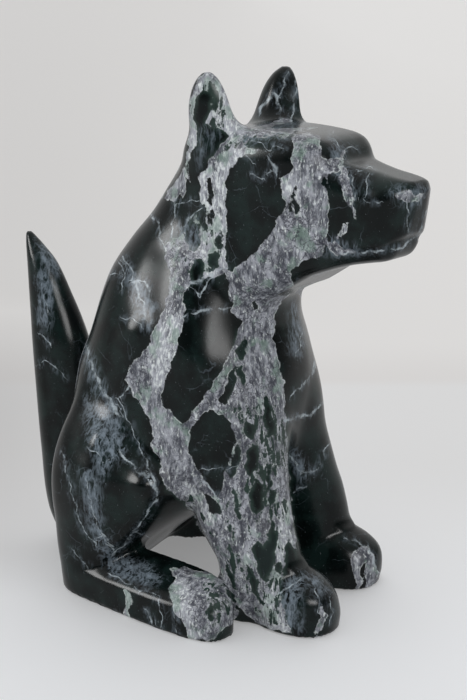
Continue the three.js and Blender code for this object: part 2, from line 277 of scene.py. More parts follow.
# The head: its side outline and its plan, each pushed out, meet in edges of the plan's rounding.
# Below the mouth line the jaw is set back, and the line itself is a shallow groove.
def headDistance(x, y, z):
    low, high = headSide.min(axis=0) - reach, headSide.max(axis=0) + reach
    close = (x > low[0]) & (x < high[0]) & (z > low[1]) & (z < high[1])
    close &= np.abs(y) < planCurve[:, 1].max() + reach
    distance = np.full(x.shape, reach)
    x, y, z = x[close], y[close], z[close]
    rounding = np.interp(x, planLevels, planCurve[:, 2])
    side = outlineDistance(headSide, x, z) + rounding
    plan = np.abs(y) - np.interp(x, planLevels, planCurve[:, 1]) + rounding
    head = np.minimum(np.maximum(side, plan), 0) - rounding
    head += np.hypot(np.maximum(side, 0), np.maximum(plan, 0))
    line = np.array(headForm["mouthLine"])
    below = np.interp(x, line[:, 0], line[:, 1]) - z
    fade = np.clip((x - line[0, 0]) / headForm["mouthFade"], 0, 1)
    setBack = np.clip(below / headForm["jawEdge"] + 0.5, 0, 1)
    setBack *= np.clip((x - headForm["jawFrom"]) / headForm["jawFade"], 0, 1)
    head += headForm["jawSetBack"] * setBack**2 * (3 - 2 * setBack)
    head += headForm["mouthDepth"] * fade * np.exp(-((below / headForm["mouthWidth"]) ** 2))
    distance[close] = head
    return distance


# Smooth union: the lesser distance, less a quarter of the squared overlap of the melt width.
def melt(a, b, width):
    overlap = np.maximum(width - np.abs(a - b), 0) / width
    return np.minimum(a, b) - overlap**2 * width / 4


# The form with one more stack melted into it.
def joined(form, name, x, y, z):
    return melt(form, stackDistance(name, x, y, z), stacks[name]["melt"])


# x, y turned by an angle in degrees about a point.
def turned(x, y, degrees, about=(0, 0)):
    c, s = math.cos(math.radians(degrees)), math.sin(math.radians(degrees))
    x, y = x - about[0], y - about[1]
    return x * c + y * s, y * c - x * s


# Distance to the whole dog, in shares, cut off flat at the floor. Below zero is stone.
def dogDistance(p):
    x, y, z = p[:, 0], p[:, 1], p[:, 2]
    aside = np.abs(y)
    form = stackDistance("torso", x, y, z)
    form = joined(form, "neck", x, y, z)
    form = joined(form, "shoulder", x, aside, z)

    lagged = x + np.sign(y) * stance["lag"] * np.maximum(1 - z / stance["lagBelow"], 0)
    spread = np.maximum(1 - z / stance["widerBelow"], 0)
    foreAside = np.abs(y - stance["foreWider"] * spread)
    leg = stackDistance("foreleg", lagged, foreAside, z)
    leg = joined(leg, "paw", lagged, foreAside, z)
    form = melt(form, leg, stacks["foreleg"]["melt"])

    hindAside = aside - stance["hindWider"] * (y > 0) * spread
    alongFoot, acrossFoot = turned(x, hindAside, stance["footTurn"], stance["footHeel"])
    hind = stackDistance("haunch", x, hindAside, z)
    hind = joined(hind, "foot", alongFoot, acrossFoot, z)
    hind = joined(hind, "toe", x, hindAside, z)
    form = melt(form, hind, stacks["haunch"]["melt"])
    for centre, extent, rise in swells.values():
        away = sum(((q - c) / r) ** 2 for q, c, r in zip((x, aside, z), centre, extent))
        form = form - rise * np.exp(-away)

    form = joined(form, "tail", x, y, z)
    headX, headY = turned(x, y, headForm["turn"])
    form = melt(form, headDistance(headX, headY, z), headForm["melt"])
    form = joined(form, "ear", headX, np.abs(headY), z)
    return np.maximum(form, -z)


# The net over the form

# For each of the 256 ways a grid cell's corners can lie in and out of the stone: which of the cell's
# crossed edges belong to one sheet of the surface. An edge is 3 times its lower corner plus its axis.
def sheetTable():
    table = np.full((256, 24), -1)
    for case in range(256):
        inside = [bool(case >> corner & 1) for corner in range(8)]
        group = {}
        for corner in range(8):
            for axis in range(3):
                if not corner >> axis & 1 and inside[corner] != inside[corner | 1 << axis]:
                    group[3 * corner + axis] = 3 * corner + axis

        def join(a, b):
            old, new = group[a], group[b]
            for edge in group:
                if group[edge] == old:
                    group[edge] = new

        for axis in range(3):
            p, q = (axis + 1) % 3, (axis + 2) % 3
            for base in (0, 1 << axis):
                ring = [base, base | 1 << p, base | 1 << p | 1 << q, base | 1 << q]
                rim = [3 * ring[0] + p, 3 * ring[1] + q, 3 * ring[3] + p, 3 * ring[0] + q]
                cut = [edge for edge in rim if edge in group]
                if len(cut) == 2:
                    join(*cut)
                if len(cut) == 4:
                    for r in range(4):
                        if inside[ring[r]]:
                            join(rim[r], rim[r - 1])
        order = sorted(set(group.values()))
        for edge, leader in group.items():
            table[case, edge] = order.index(leader)
    return table


# Moves points along the steepest way until the distance there is zero, and floor points to the floor.
def settle(points, rounds=3, nudge=0.05, leastSlope=0.05):
    for _ in range(rounds):
        here = dogDistance(points)
        rises = [dogDistance(points + nudge * axis) - here for axis in np.eye(3)]
        slope = np.stack(rises, axis=1) / nudge
        step = here / np.maximum((slope**2).sum(axis=1), leastSlope)
        points = points - np.clip(step, -netStep, netStep)[:, None] * slope
        points[:, 2] = np.maximum(points[:, 2], 0)
    return points


# Distances at the points of a fine grid, nan where a coarse grid says that the surface is far.
def distancesNear(low, high, step, coarse=4):
    count = np.ceil((high - low) / (step * coarse)).astype(int) * coarse + 1
    coarseAxes = [low[k] + step * np.arange(0, count[k], coarse) for k in range(3)]
    grid = np.stack(np.meshgrid(*coarseAxes, indexing="ij"), axis=-1)
    rough = dogDistance(grid.reshape(-1, 3)).reshape(grid.shape[:3])
    near = np.argwhere(np.abs(rough) < step * coarse * nearBand)
    around = [np.arange(-coarse // 2, coarse // 2 + 1)] * 3
    offsets = np.stack(np.meshgrid(*around, indexing="ij"), axis=-1)
    fine = (near[:, None, :] * coarse + offsets.reshape(1, -1, 3)).reshape(-1, 3)
    fine = fine[((fine >= 0) & (fine < count)).all(axis=1)]
    flat = np.unique(np.ravel_multi_index(fine.T, count))
    spots = np.stack(np.unravel_index(flat, count), axis=1)
    value = np.full(count, np.nan)
    value[tuple(spots.T)] = dogDistance(low + step * spots)
    print("grid:", len(near), "coarse cells,", len(spots), "fine points")
    return value, spots


# The net: one point for each sheet in each crossed cell, at the mean of the sheet's crossings, and a
# quad round each crossed grid edge.
def netOver(low, high, step):
    value, spots = distancesNear(low, high, step)
    count = np.array(value.shape)
    cells = spots[(spots < count - 1).all(axis=1)]
    bits = np.array([[corner & 1, corner >> 1 & 1, corner >> 2 & 1] for corner in range(8)])
    corners = value[tuple((cells[:, None, :] + bits).transpose(2, 0, 1))]
    inside = corners < 0
    crossed = ~np.isnan(corners).any(axis=1) & inside.any(axis=1) & ~inside.all(axis=1)
    cells, corners, inside = cells[crossed], corners[crossed], inside[crossed]
    case = (inside << np.arange(8)).sum(axis=1)
    sheetOf = sheetTable()[case]

    total = np.zeros((len(cells), 4, 3))
    crossings = np.zeros((len(cells), 4))
    for edge in range(24):
        corner, axis = divmod(edge, 3)
        rows = np.flatnonzero(sheetOf[:, edge] >= 0)
        if corner >> axis & 1 or not len(rows):
            continue
        start, end = corners[rows, corner], corners[rows, corner | 1 << axis]
        place = np.repeat(bits[corner][None].astype(float), len(rows), axis=0)
        place[:, axis] += start / (start - end)
        total[rows, sheetOf[rows, edge]] += place
        crossings[rows, sheetOf[rows, edge]] += 1
    used = crossings > 0
    pointOf = np.full(used.shape, -1)
    pointOf[used] = np.arange(used.sum())
    place = total[used] / crossings[used][:, None]
    points = low + step * (np.repeat(cells, used.sum(axis=1), axis=0) + place)
    points = settle(points)

    cellAt = np.full(count, -1)
    cellAt[tuple(cells.T)] = np.arange(len(cells))
    quads = []
    for axis in range(3):
        p, q = np.eye(3, dtype=int)[(axis + 1) % 3], np.eye(3, dtype=int)[(axis + 2) % 3]
        here = inside[:, 0]
        rows = np.flatnonzero((here != inside[:, 1 << axis]) & (cells > 0).all(axis=1))
        ring = []
        for back in (0 * p, p, p + q, q):
            other = cellAt[tuple((cells[rows] - back).T)]
            edge = 3 * (back @ (1, 2, 4)) + axis
            ring.append(pointOf[other, sheetOf[other, edge]])
        ring = np.stack(ring, axis=1)
        flip = inside[rows, 1 << axis]
        ring[flip] = ring[flip][:, ::-1]
        quads.append(ring)
    return points, np.concatenate(quads)


# The camera of the photograph

photoView = {
    "image": (467, 700),  # pixels
    "focal": 1300,  # pixels
    "place": (0.2477, -0.41495, 0.229),
    "azimuth": 30,
    "pitch": 15.69,  # degrees down
}

# the camera's directions
azimuth, pitch = math.radians(photoView["azimuth"]), math.radians(photoView["pitch"])
right = np.array([math.cos(azimuth), math.sin(azimuth), 0])
levelAhead = np.array([-math.sin(azimuth), math.cos(azimuth), 0])
forward = levelAhead * math.cos(pitch) - np.array([0, 0, math.sin(pitch)])
up = np.cross(right, forward)


def makeCamera():
    data = bpy.data.cameras.new("camera")
    data.sensor_width = 36
    data.lens = photoView["focal"] * data.sensor_width / max(photoView["image"])
    data.clip_start, data.clip_end = 0.05, 100
    camera = addObject("camera", data)
    turn = Matrix([right, up, -forward]).transposed().to_4x4()
    camera.matrix_world = Matrix.Translation(photoView["place"]) @ turn
    bpy.context.scene.camera = camera


# The layout of the stone

# What shows in the photograph, as outlines in its pixels. The veins run through the block along the
# line of sight, and where the block turns away from the camera the pattern is worked out instead.
pale = {
    "breccia": [
        (296, 127), (321, 131), (321, 157), (340, 159), (339, 171), (328, 175), (328, 235), (322, 256),
        (301, 262), (291, 272), (292, 283), (301, 288), (281, 299), (275, 315), (274, 340), (279, 362),
        (284, 385), (286, 420), (288, 460), (292, 510), (297, 552), (284, 568), (279, 590), (285, 612),
        (292, 634), (262, 627), (240, 610), (222, 572), (196, 520), (182, 500), (166, 489), (161, 476),
        (160, 460), (151, 447), (153, 432), (147, 413), (134, 396), (126, 380), (128, 367), (138, 357),
        (147, 349), (151, 335), (160, 318), (167, 300), (170, 275), (165, 257), (164, 246), (171, 240),
        (179, 237), (187, 230), (191, 220), (199, 212), (201, 228), (204, 255), (208, 270), (226, 268),
        (232, 271), (250, 256), (262, 245), (276, 224), (286, 205), (281, 190), (280, 178), (292, 172),
        (292, 150),
    ],
    "besideCheek": [
        (262, 150), (243, 146), (228, 150), (214, 158), (205, 170), (199, 176), (200, 192), (202, 206),
        (199, 222), (200, 240), (203, 262), (206, 277), (209, 270), (214, 256), (220, 262), (219, 270),
        (227, 266), (225, 248), (227, 225), (226, 205), (227, 192), (225, 180), (229, 169), (240, 158),
    ],
    "underBrow": [
        (203, 160), (208, 148), (218, 141), (232, 134), (244, 128), (270, 126), (290, 127), (296, 133),
        (286, 137), (262, 137), (247, 142), (238, 150), (222, 158), (210, 168),
    ],
    "nearEar": [
        (186, 176), (188, 130), (190, 102), (196, 82), (207, 69), (219, 78), (230, 99), (240, 120),
        (248, 127), (238, 136), (222, 142), (210, 150), (203, 160), (196, 150), (192, 165), (190, 182),
    ],
    "nape": [(163, 197), (175, 183), (186, 164), (187, 180), (184, 198), (179, 192), (175, 203)],
    "templeStrip": [
        (341, 150), (345, 149), (344, 163), (348, 176), (352, 187), (353, 198), (356, 220), (351, 209),
        (346, 200), (341, 189), (340, 176), (341, 163),
    ],
    "lipPatch": [(327, 244), (333, 241), (342, 248), (357, 252), (350, 255), (335, 254), (328, 250)],
    "lipStrip": [(335, 240), (341, 231), (342, 224), (350, 223), (346, 231), (338, 240)],
    "noseChevron": [
        (391, 194), (402, 195), (406, 190), (410, 191), (413, 195), (427, 192), (422, 198), (412, 203),
        (408, 203), (400, 198),
    ],
    "toe": [
        (168, 568), (183, 567), (200, 571), (215, 574), (227, 577), (231, 584), (226, 594), (236, 604),
        (238, 612), (232, 624), (215, 638), (200, 643), (187, 644), (187, 630), (182, 620), (174, 612),
        (171, 600), (169, 588), (176, 578),
    ],
    "footStrip": [
        (124, 588), (130, 591), (132, 601), (129, 611), (130, 624), (125, 622), (124, 608), (126, 598),
    ],
    "pawStrip": [
        (319, 599), (324, 606), (327, 616), (323, 628), (317, 637), (315, 632), (319, 620), (320, 610),
    ],
    "farPawPatch": [
        (350, 562), (354, 551), (361, 545), (369, 547), (374, 558), (377, 570), (383, 578), (374, 590),
        (367, 592), (364, 574), (367, 562), (360, 566), (362, 578), (360, 592), (356, 592), (355, 577),
    ],
    "farEarBase": [(274, 121), (292, 118), (294, 126), (276, 126)],
}
dark = {
    "besideCheekSlot": [(208, 177), (212, 174), (213, 196), (212, 207), (209, 204), (207, 190)],
    "besideCheekLow": [(215, 236), (220, 230), (224, 241), (221, 251), (215, 247)],
    "besideCheekGap": [(199, 209), (205, 205), (207, 216), (206, 226), (201, 228), (197, 220)],
    "besideCheekRight": [(209, 211), (213, 208), (214, 222), (211, 227), (208, 218)],
    "bandSlot": [
        (294, 186), (296, 188), (295, 200), (299, 204), (298, 216), (294, 214), (293, 204), (289, 216),
        (288, 206),
    ],
    "bandRight": [(322, 178), (327, 178), (327, 189), (322, 189)],
    "shoulder": [
        (224, 273), (229, 283), (228, 293), (232, 302), (231, 311), (238, 317), (241, 322), (238, 333),
        (233, 346), (226, 361), (216, 378), (206, 394), (197, 406), (189, 420), (183, 424), (172, 414),
        (161, 404), (162, 395), (166, 380), (171, 365), (176, 350), (180, 336), (183, 322), (186, 309),
        (183, 302), (185, 291), (192, 284), (202, 281), (213, 277),
    ],
    "elbow": [
        (200, 416), (208, 411), (216, 412), (225, 416), (231, 424), (235, 436), (234, 448), (230, 459),
        (226, 470), (224, 480), (219, 497), (210, 489), (202, 478), (197, 467), (190, 456), (188, 446),
        (190, 434), (194, 424),
    ],
    "underElbow": [(203, 492), (210, 496), (219, 504), (222, 516), (214, 514), (207, 505)],
    "chestFirst": [(236, 352), (241, 341), (246, 336), (246, 352), (244, 362), (239, 360)],
    "chestSecond": [(239, 364), (243, 366), (246, 380), (243, 387), (239, 380), (237, 371)],
    "chestThird": [(232, 367), (236, 363), (236, 382), (231, 396), (224, 406), (219, 402), (225, 388)],
    "chestFourth": [
        (265, 392), (268, 398), (272, 412), (276, 426), (274, 438), (268, 437), (264, 424), (263, 408),
    ],
    "chestFifth": [(245, 419), (252, 423), (257, 431), (254, 440), (248, 437), (244, 430)],
    "chestSixth": [
        (252, 444), (258, 447), (260, 457), (258, 468), (253, 477), (248, 475), (245, 464), (247, 452),
    ],
    "chestSeventh": [
        (238, 441), (241, 446), (241, 457), (238, 470), (232, 478), (228, 474), (231, 461), (235, 450),
    ],
    "forearmTop": [
        (256, 479), (262, 484), (265, 497), (262, 511), (256, 517), (252, 509), (249, 498), (252, 486),
    ],
    "forearmSlit": [(234, 480), (237, 492), (239, 508), (241, 523), (237, 521), (235, 506), (233, 492)],
    "forearmRight": [(267, 464), (271, 462), (272, 480), (270, 496), (266, 490)],
    "forearmGreen": [(270, 490), (278, 488), (275, 500), (269, 508), (268, 499)],
    "forearmLow": [
        (271, 520), (275, 524), (278, 540), (276, 552), (274, 562), (270, 576), (265, 584), (258, 573),
        (254, 558), (252, 545), (256, 540), (262, 546), (268, 540), (269, 530),
    ],
    "wristRight": [(285, 546), (290, 541), (297, 551), (299, 566), (292, 573), (286, 568), (284, 556)],
    "wristSmall": [(276, 561), (281, 560), (283, 566), (279, 574), (275, 570)],
    "wristLeft": [
        (246, 560), (251, 566), (256, 578), (258, 590), (264, 602), (259, 606), (253, 592), (248, 576),
    ],
    "wristRear": [(224, 560), (229, 565), (233, 574), (239, 590), (235, 590), (228, 578)],
    "toeShade": [(208, 609), (213, 600), (215, 614), (211, 624), (207, 618)],
    "forearmSpeck": [(229, 523), (232, 525), (232, 533), (229, 533)],
    "napeHigh": [(190, 219), (199, 225), (200, 240), (197, 250), (190, 251), (186, 243), (185, 230)],
    "napeLow": [(192, 259), (199, 258), (204, 264), (204, 276), (200, 283), (192, 285), (190, 276)],
    "napeMiddle": [(201, 212), (207, 216), (207, 228), (203, 233), (199, 224)],
    "napeRear": [(172, 208), (178, 212), (180, 228), (176, 240), (170, 228)],
    "napeTop": [(178, 212), (188, 208), (191, 214), (184, 221), (178, 220)],
    "underSlot": [(209, 254), (216, 250), (220, 257), (218, 267), (212, 272), (208, 262)],
    "throat": [(252, 303), (256, 301), (258, 310), (253, 311)],
    "earInside": [
        (195, 102), (200, 92), (209, 90), (213, 97), (211, 109), (206, 122), (204, 140), (203, 156),
        (197, 158), (198, 140), (195, 124), (193, 112),
    ],
    "earBase": [
        (203, 124), (212, 126), (224, 131), (230, 136), (222, 145), (212, 156), (204, 168), (198, 178),
        (190, 182), (188, 166), (194, 146), (200, 138),
    ],
    "earSpeck": [(213, 103), (217, 100), (219, 106), (216, 111), (213, 109)],
    "browRight": [(247, 143), (262, 139), (290, 138), (292, 150), (275, 152), (262, 151)],
}
white = {  # whiter and greener than the lilac grey of the rest
    "besideCheek": [
        (262, 148), (228, 150), (205, 168), (198, 176), (200, 280), (212, 280), (228, 262), (228, 172),
    ],
    "nearEar": [(190, 100), (207, 69), (232, 99), (246, 127), (215, 145), (186, 180)],
    "cheekPoint": [(280, 178), (293, 176), (293, 202), (287, 202), (281, 190)],
    "flank": [(160, 322), (182, 312), (178, 350), (160, 392), (148, 380), (150, 345)],
    "toe": [(170, 580), (182, 576), (190, 596), (196, 640), (187, 644), (183, 620), (172, 606)],
    "paw": [(262, 596), (274, 590), (276, 606), (292, 630), (280, 634), (262, 624)],
    "knot": [(240, 547), (250, 545), (254, 560), (248, 566), (240, 560)],
    "foreEdge": [(182, 486), (196, 484), (216, 520), (206, 530), (192, 514)],
    "wrist": [
        (278, 500), (290, 500), (294, 545), (284, 545), (280, 580), (268, 600), (272, 570), (278, 540),
    ],
    "footStrip": [(122, 586), (132, 590), (132, 624), (124, 622)],
}
cloud = {  # blue and lilac haze in the dark stone
    "hip": [
        (84, 396), (100, 402), (118, 414), (127, 436), (124, 455), (112, 468), (103, 482), (95, 466),
        (87, 440),
    ],
    "shank": [
        (80, 470), (92, 466), (100, 490), (101, 516), (107, 540), (122, 560), (110, 568), (96, 548),
        (86, 520),
    ],
    "heel": [(104, 560), (124, 556), (150, 566), (164, 580), (150, 586), (126, 580), (110, 574)],
    "thighEdge": [(82, 344), (90, 350), (104, 384), (120, 410), (112, 420), (94, 392), (84, 366)],
    "tailTip": [(38, 240), (50, 244), (62, 262), (60, 278), (46, 270), (38, 256)],
    "tail": [(36, 268), (50, 272), (56, 292), (52, 312), (48, 330), (38, 322)],
    "paw": [(279, 590), (290, 576), (306, 572), (300, 600), (303, 633), (290, 630), (280, 612)],
    "pawTop": [(304, 572), (320, 577), (331, 592), (320, 594), (308, 586)],
    "backFringe": [(124, 258), (140, 276), (156, 306), (152, 334), (138, 322), (128, 284)],
    "neckGreen": [(178, 224), (198, 214), (199, 246), (194, 262), (184, 262), (178, 244)],
    "farShoulder": [(290, 300), (302, 306), (306, 340), (300, 360), (290, 350)],
    "farLegTop": [(288, 442), (300, 454), (310, 470), (318, 464), (312, 477), (300, 482), (291, 466)],
    "earBase": [(200, 130), (206, 128), (203, 150), (198, 166)],
    "earBaseRight": [(214, 130), (220, 132), (212, 146), (206, 152)],
    "underBrow": [(236, 134), (262, 124), (294, 126), (290, 138), (262, 142), (244, 146)],
    "temple": [(330, 132), (342, 146), (352, 184), (346, 192), (338, 176), (332, 170)],
    "lip": [(326, 238), (340, 240), (358, 248), (362, 254), (340, 258), (326, 254)],
    "nose": [(388, 190), (404, 186), (428, 188), (424, 202), (412, 208), (398, 202)],
}
crushed = {  # where the pale stone is a web of threads round small clasts
    "chest": [
        (230, 334), (243, 330), (247, 372), (252, 400), (272, 394), (292, 420), (296, 520), (302, 560),
        (292, 634), (262, 627), (232, 590), (214, 540), (222, 500), (236, 470), (238, 430), (226, 408),
        (236, 370),
    ],
    "ear": [
        (190, 120), (197, 82), (207, 69), (219, 78), (234, 112), (226, 138), (206, 146), (196, 150),
    ],
    "toe": [(198, 575), (229, 577), (238, 612), (215, 640), (200, 640)],
    "belowBelly": [(160, 465), (176, 470), (200, 500), (222, 540), (222, 572), (196, 524), (166, 490)],
    "flank": [
        (163, 206), (186, 200), (201, 206), (204, 224), (222, 222), (226, 250), (226, 268), (206, 280),
        (190, 286), (170, 286), (163, 250),
    ],
    "brow": [
        (206, 160), (222, 142), (246, 128), (292, 126), (294, 140), (262, 144), (240, 152), (214, 164),
    ],
}
veins = {  # half width in pixels, then the way it runs
    "mouth": (1.3, [(340, 253), (360, 253), (385, 250), (403, 247), (415, 238), (423, 226)]),
    "templeTop": (0.8, [(333, 133), (337, 142), (342, 152)]),
    "templeSide": (0.8, [(344, 149), (350, 147), (356, 149)]),
    "templeRight": (0.6, [(352, 178), (355, 190), (354, 206)]),
    "thighHigh": (2.2, [(86, 345), (92, 365), (100, 385), (110, 402), (119, 416)]),
    "thighLow": (1.0, [(119, 400), (130, 424), (139, 445), (146, 460), (152, 476), (158, 492)]),
    "knee": (1.7, [(120, 452), (132, 465), (146, 477), (157, 491)]),
    "kneeDown": (1.2, [(158, 494), (152, 507), (143, 519), (134, 532), (122, 546)]),
    "kneeBranch": (0.9, [(147, 536), (136, 532), (122, 546), (112, 556)]),
    "hipRise": (0.9, [(119, 398), (126, 391), (131, 383)]),
    "haunchFirst": (0.9, [(62, 452), (68, 478), (74, 500), (81, 526), (97, 546)]),
    "haunchSecond": (0.8, [(84, 470), (90, 500), (96, 522), (104, 540), (116, 552)]),
    "haunchThird": (0.7, [(73, 549), (80, 558), (88, 568)]),
    "haunchFourth": (0.7, [(88, 448), (97, 452), (102, 462), (112, 458)]),
    "haunchFifth": (0.7, [(93, 540), (104, 535), (114, 548)]),
    "backFirst": (1.0, [(123, 257), (131, 268), (134, 282), (141, 298), (146, 314)]),
    "backSecond": (0.8, [(133, 282), (144, 280), (150, 290), (152, 304)]),
    "backThird": (0.7, [(120, 262), (125, 276), (121, 290)]),
    "backFourth": (0.8, [(124, 318), (134, 319), (142, 327)]),
    "backFifth": (0.6, [(110, 274), (120, 275)]),
    "napeDown": (1.2, [(176, 200), (174, 216), (171, 236)]),
    "napeBack": (1.2, [(151, 214), (158, 222), (160, 236), (166, 248)]),
    "napeCross": (1.1, [(184, 226), (190, 218), (199, 209)]),
    "napeFine": (0.7, [(178, 203), (188, 202), (198, 200)]),
    "shoulderTop": (1.3, [(183, 290), (192, 283), (205, 278), (214, 272), (226, 268)]),
    "shoulderCrack": (1.1, [(185, 317), (191, 313), (200, 312), (208, 309)]),
    "shoulderRight": (0.9, [(220, 310), (229, 307)]),
    "shoulderBranch": (0.9, [(213, 276), (206, 285), (201, 295), (196, 290)]),
    "elbowCrack": (0.6, [(203, 470), (214, 468), (226, 469), (236, 466)]),
    "elbowLow": (1.0, [(198, 478), (208, 487), (220, 498)]),
    "farShoulder": (1.6, [(291, 397), (300, 386), (308, 380), (314, 368), (316, 356)]),
    "farLegCross": (1.9, [(286, 420), (298, 417), (311, 414), (318, 408), (325, 398)]),
    "farLegLoop": (1.2, [
        (290, 456), (298, 468), (306, 473), (314, 473), (320, 464), (325, 450), (332, 438),
    ]),
    "farLegPatch": (2.4, [(302, 472), (309, 472)]),
    "farLegLow": (1.4, [(296, 491), (304, 487)]),
    "farChest": (0.9, [(296, 356), (300, 345), (302, 332)]),
    "farPawEdge": (1.3, [(346, 538), (356, 542), (368, 547), (373, 558), (378, 572)]),
    "farEarLeft": (1.6, [(259, 114), (266, 101), (272, 94), (277, 97), (280, 112), (283, 122)]),
    "farEarRight": (1.7, [(292, 120), (294, 104), (296, 88), (297, 76)]),
    "farEarRidge": (0.7, [(279, 96), (284, 84), (287, 74)]),
    "muzzleHook": (0.9, [(358, 170), (364, 171), (368, 167), (373, 169)]),
    "muzzleDrop": (0.7, [(369, 173), (367, 184), (366, 194)]),
    "muzzleArc": (0.7, [(365, 199), (370, 203), (380, 202)]),
    "noseDrop": (1.2, [(407, 203), (408, 214), (408, 234)]),
    "muzzleEdge": (0.9, [(420, 238), (426, 222), (428, 208)]),
    "cheekFirst": (1.2, [(268, 158), (273, 163), (276, 172)]),
    "cheekSecond": (0.7, [(251, 173), (256, 177), (263, 179)]),
    "cheekThird": (1.2, [(246, 156), (254, 162)]),
    "cheekFourth": (0.8, [(266, 172), (273, 171), (277, 175)]),
    "browFirst": (0.9, [(244, 147), (252, 141), (262, 143), (268, 150), (276, 146), (284, 150)]),
    "tailFirst": (0.9, [(40, 334), (46, 338), (50, 346)]),
    "tailSecond": (0.8, [(38, 365), (46, 361), (56, 366), (66, 378)]),
    "tailThird": (0.7, [(44, 296), (48, 312)]),
    "footTop": (0.8, [(110, 574), (124, 582), (140, 590), (156, 594)]),
    "footFine": (0.7, [(158, 600), (162, 615), (161, 632)]),
    "footSecond": (0.7, [(173, 596), (175, 618), (178, 640)]),
    "footThird": (0.9, [(146, 610), (152, 622), (155, 630)]),
    "pawRidge": (0.8, [(281, 592), (290, 586), (300, 580)]),
    "pawFine": (0.8, [(316, 592), (319, 600), (319, 612)]),
    "pawSide": (0.6, [(330, 600), (332, 612), (330, 622)]),
}


# Where points of the block show in the photograph: across and down, in its pixels.
def inPhotograph(points):
    away = points - photoView["place"]
    depth = away @ forward
    across = photoView["image"][0] / 2 + photoView["focal"] * (away @ right) / depth
    return across, photoView["image"][1] / 2 - photoView["focal"] * (away @ up) / depth


# Sines of each of the two, shifted by a sine of the other, so that straight sides come out uneven.
def wobbled(across, down):
    movedAcross = across + 0.9 * np.sin(down / 3.1 + 1.5 * np.sin(across / 7.3))
    movedAcross += 0.6 * np.sin(down / 1.7 + across / 5.1)
    movedDown = down + 0.9 * np.sin(across / 2.9 + 1.5 * np.sin(down / 6.7))
    movedDown += 0.6 * np.sin(across / 1.6 - down / 4.7)
    return movedAcross, movedDown


# How deep each pixel lies in the deepest of the outlines, below zero outside, down to the margin.
def depthIn(outlines, across, down, margin=24):
    deepest = np.full(across.shape, -float(margin))
    for outline in outlines.values():
        outline = np.array(outline, float)
        low, high = outline.min(axis=0) - margin, outline.max(axis=0) + margin
        close = (across > low[0]) & (across < high[0]) & (down > low[1]) & (down < high[1])
        depth = -outlineDistance(outline, across[close], down[close])
        deepest[close] = np.maximum(deepest[close], depth)
    return deepest


# The way across the nearest vein: its signed distance over its half width, and the plain distance.
def veinDistance(across, down, margin=12):
    nearest = np.full(across.shape, float(margin))
    signed = np.full(across.shape, float(margin))
    for halfWidth, way in veins.values():
        for a, b in zip(np.array(way[:-1], float), np.array(way[1:], float)):
            d = b - a
            t = np.clip(((across - a[0]) * d[0] + (down - a[1]) * d[1]) / (d @ d), 0, 1)
            gap = np.hypot(across - a[0] - t * d[0], down - a[1] - t * d[1])
            side = np.sign((across - a[0]) * d[1] - (down - a[1]) * d[0])
            closer = gap < nearest
            nearest[closer] = gap[closer]
            signed[closer] = (side * gap)[closer] / (halfWidth * 0.75)
    return signed, nearest


# The stone

class Wire:
    # one value in a shader: an operator on it adds the Math node that works it out
    def __init__(self, shader, socket):
        self.shader = shader
        self.socket = socket

    def math(self, operation, *values):
        return self.shader.add("ShaderNodeMath", {"operation": operation}, dict(enumerate(values)))

    def __add__(self, other):
        return self.math("ADD", self, other)

    def __radd__(self, other):
        return self.math("ADD", other, self)

    def __sub__(self, other):
        return self.math("SUBTRACT", self, other)

    def __rsub__(self, other):
        return self.math("SUBTRACT", other, self)

    def __mul__(self, other):
        return self.math("MULTIPLY", self, other)

    def __rmul__(self, other):
        return self.math("MULTIPLY", other, self)

    def __truediv__(self, other):
        return self.math("DIVIDE", self, other)

    def __abs__(self):
        return self.math("ABSOLUTE", self)

    def least(self, other):
        return self.math("MINIMUM", self, other)

    def most(self, other):
        return self.math("MAXIMUM", self, other)

    # 0 below low, 1 above high and a smooth step between them; low may be the greater one
    def step(self, low, high):
        settings = {"interpolation_type": "SMOOTHSTEP"}
        return self.shader.add("ShaderNodeMapRange", settings, {0: self, 1: low, 2: high, 3: 0, 4: 1})


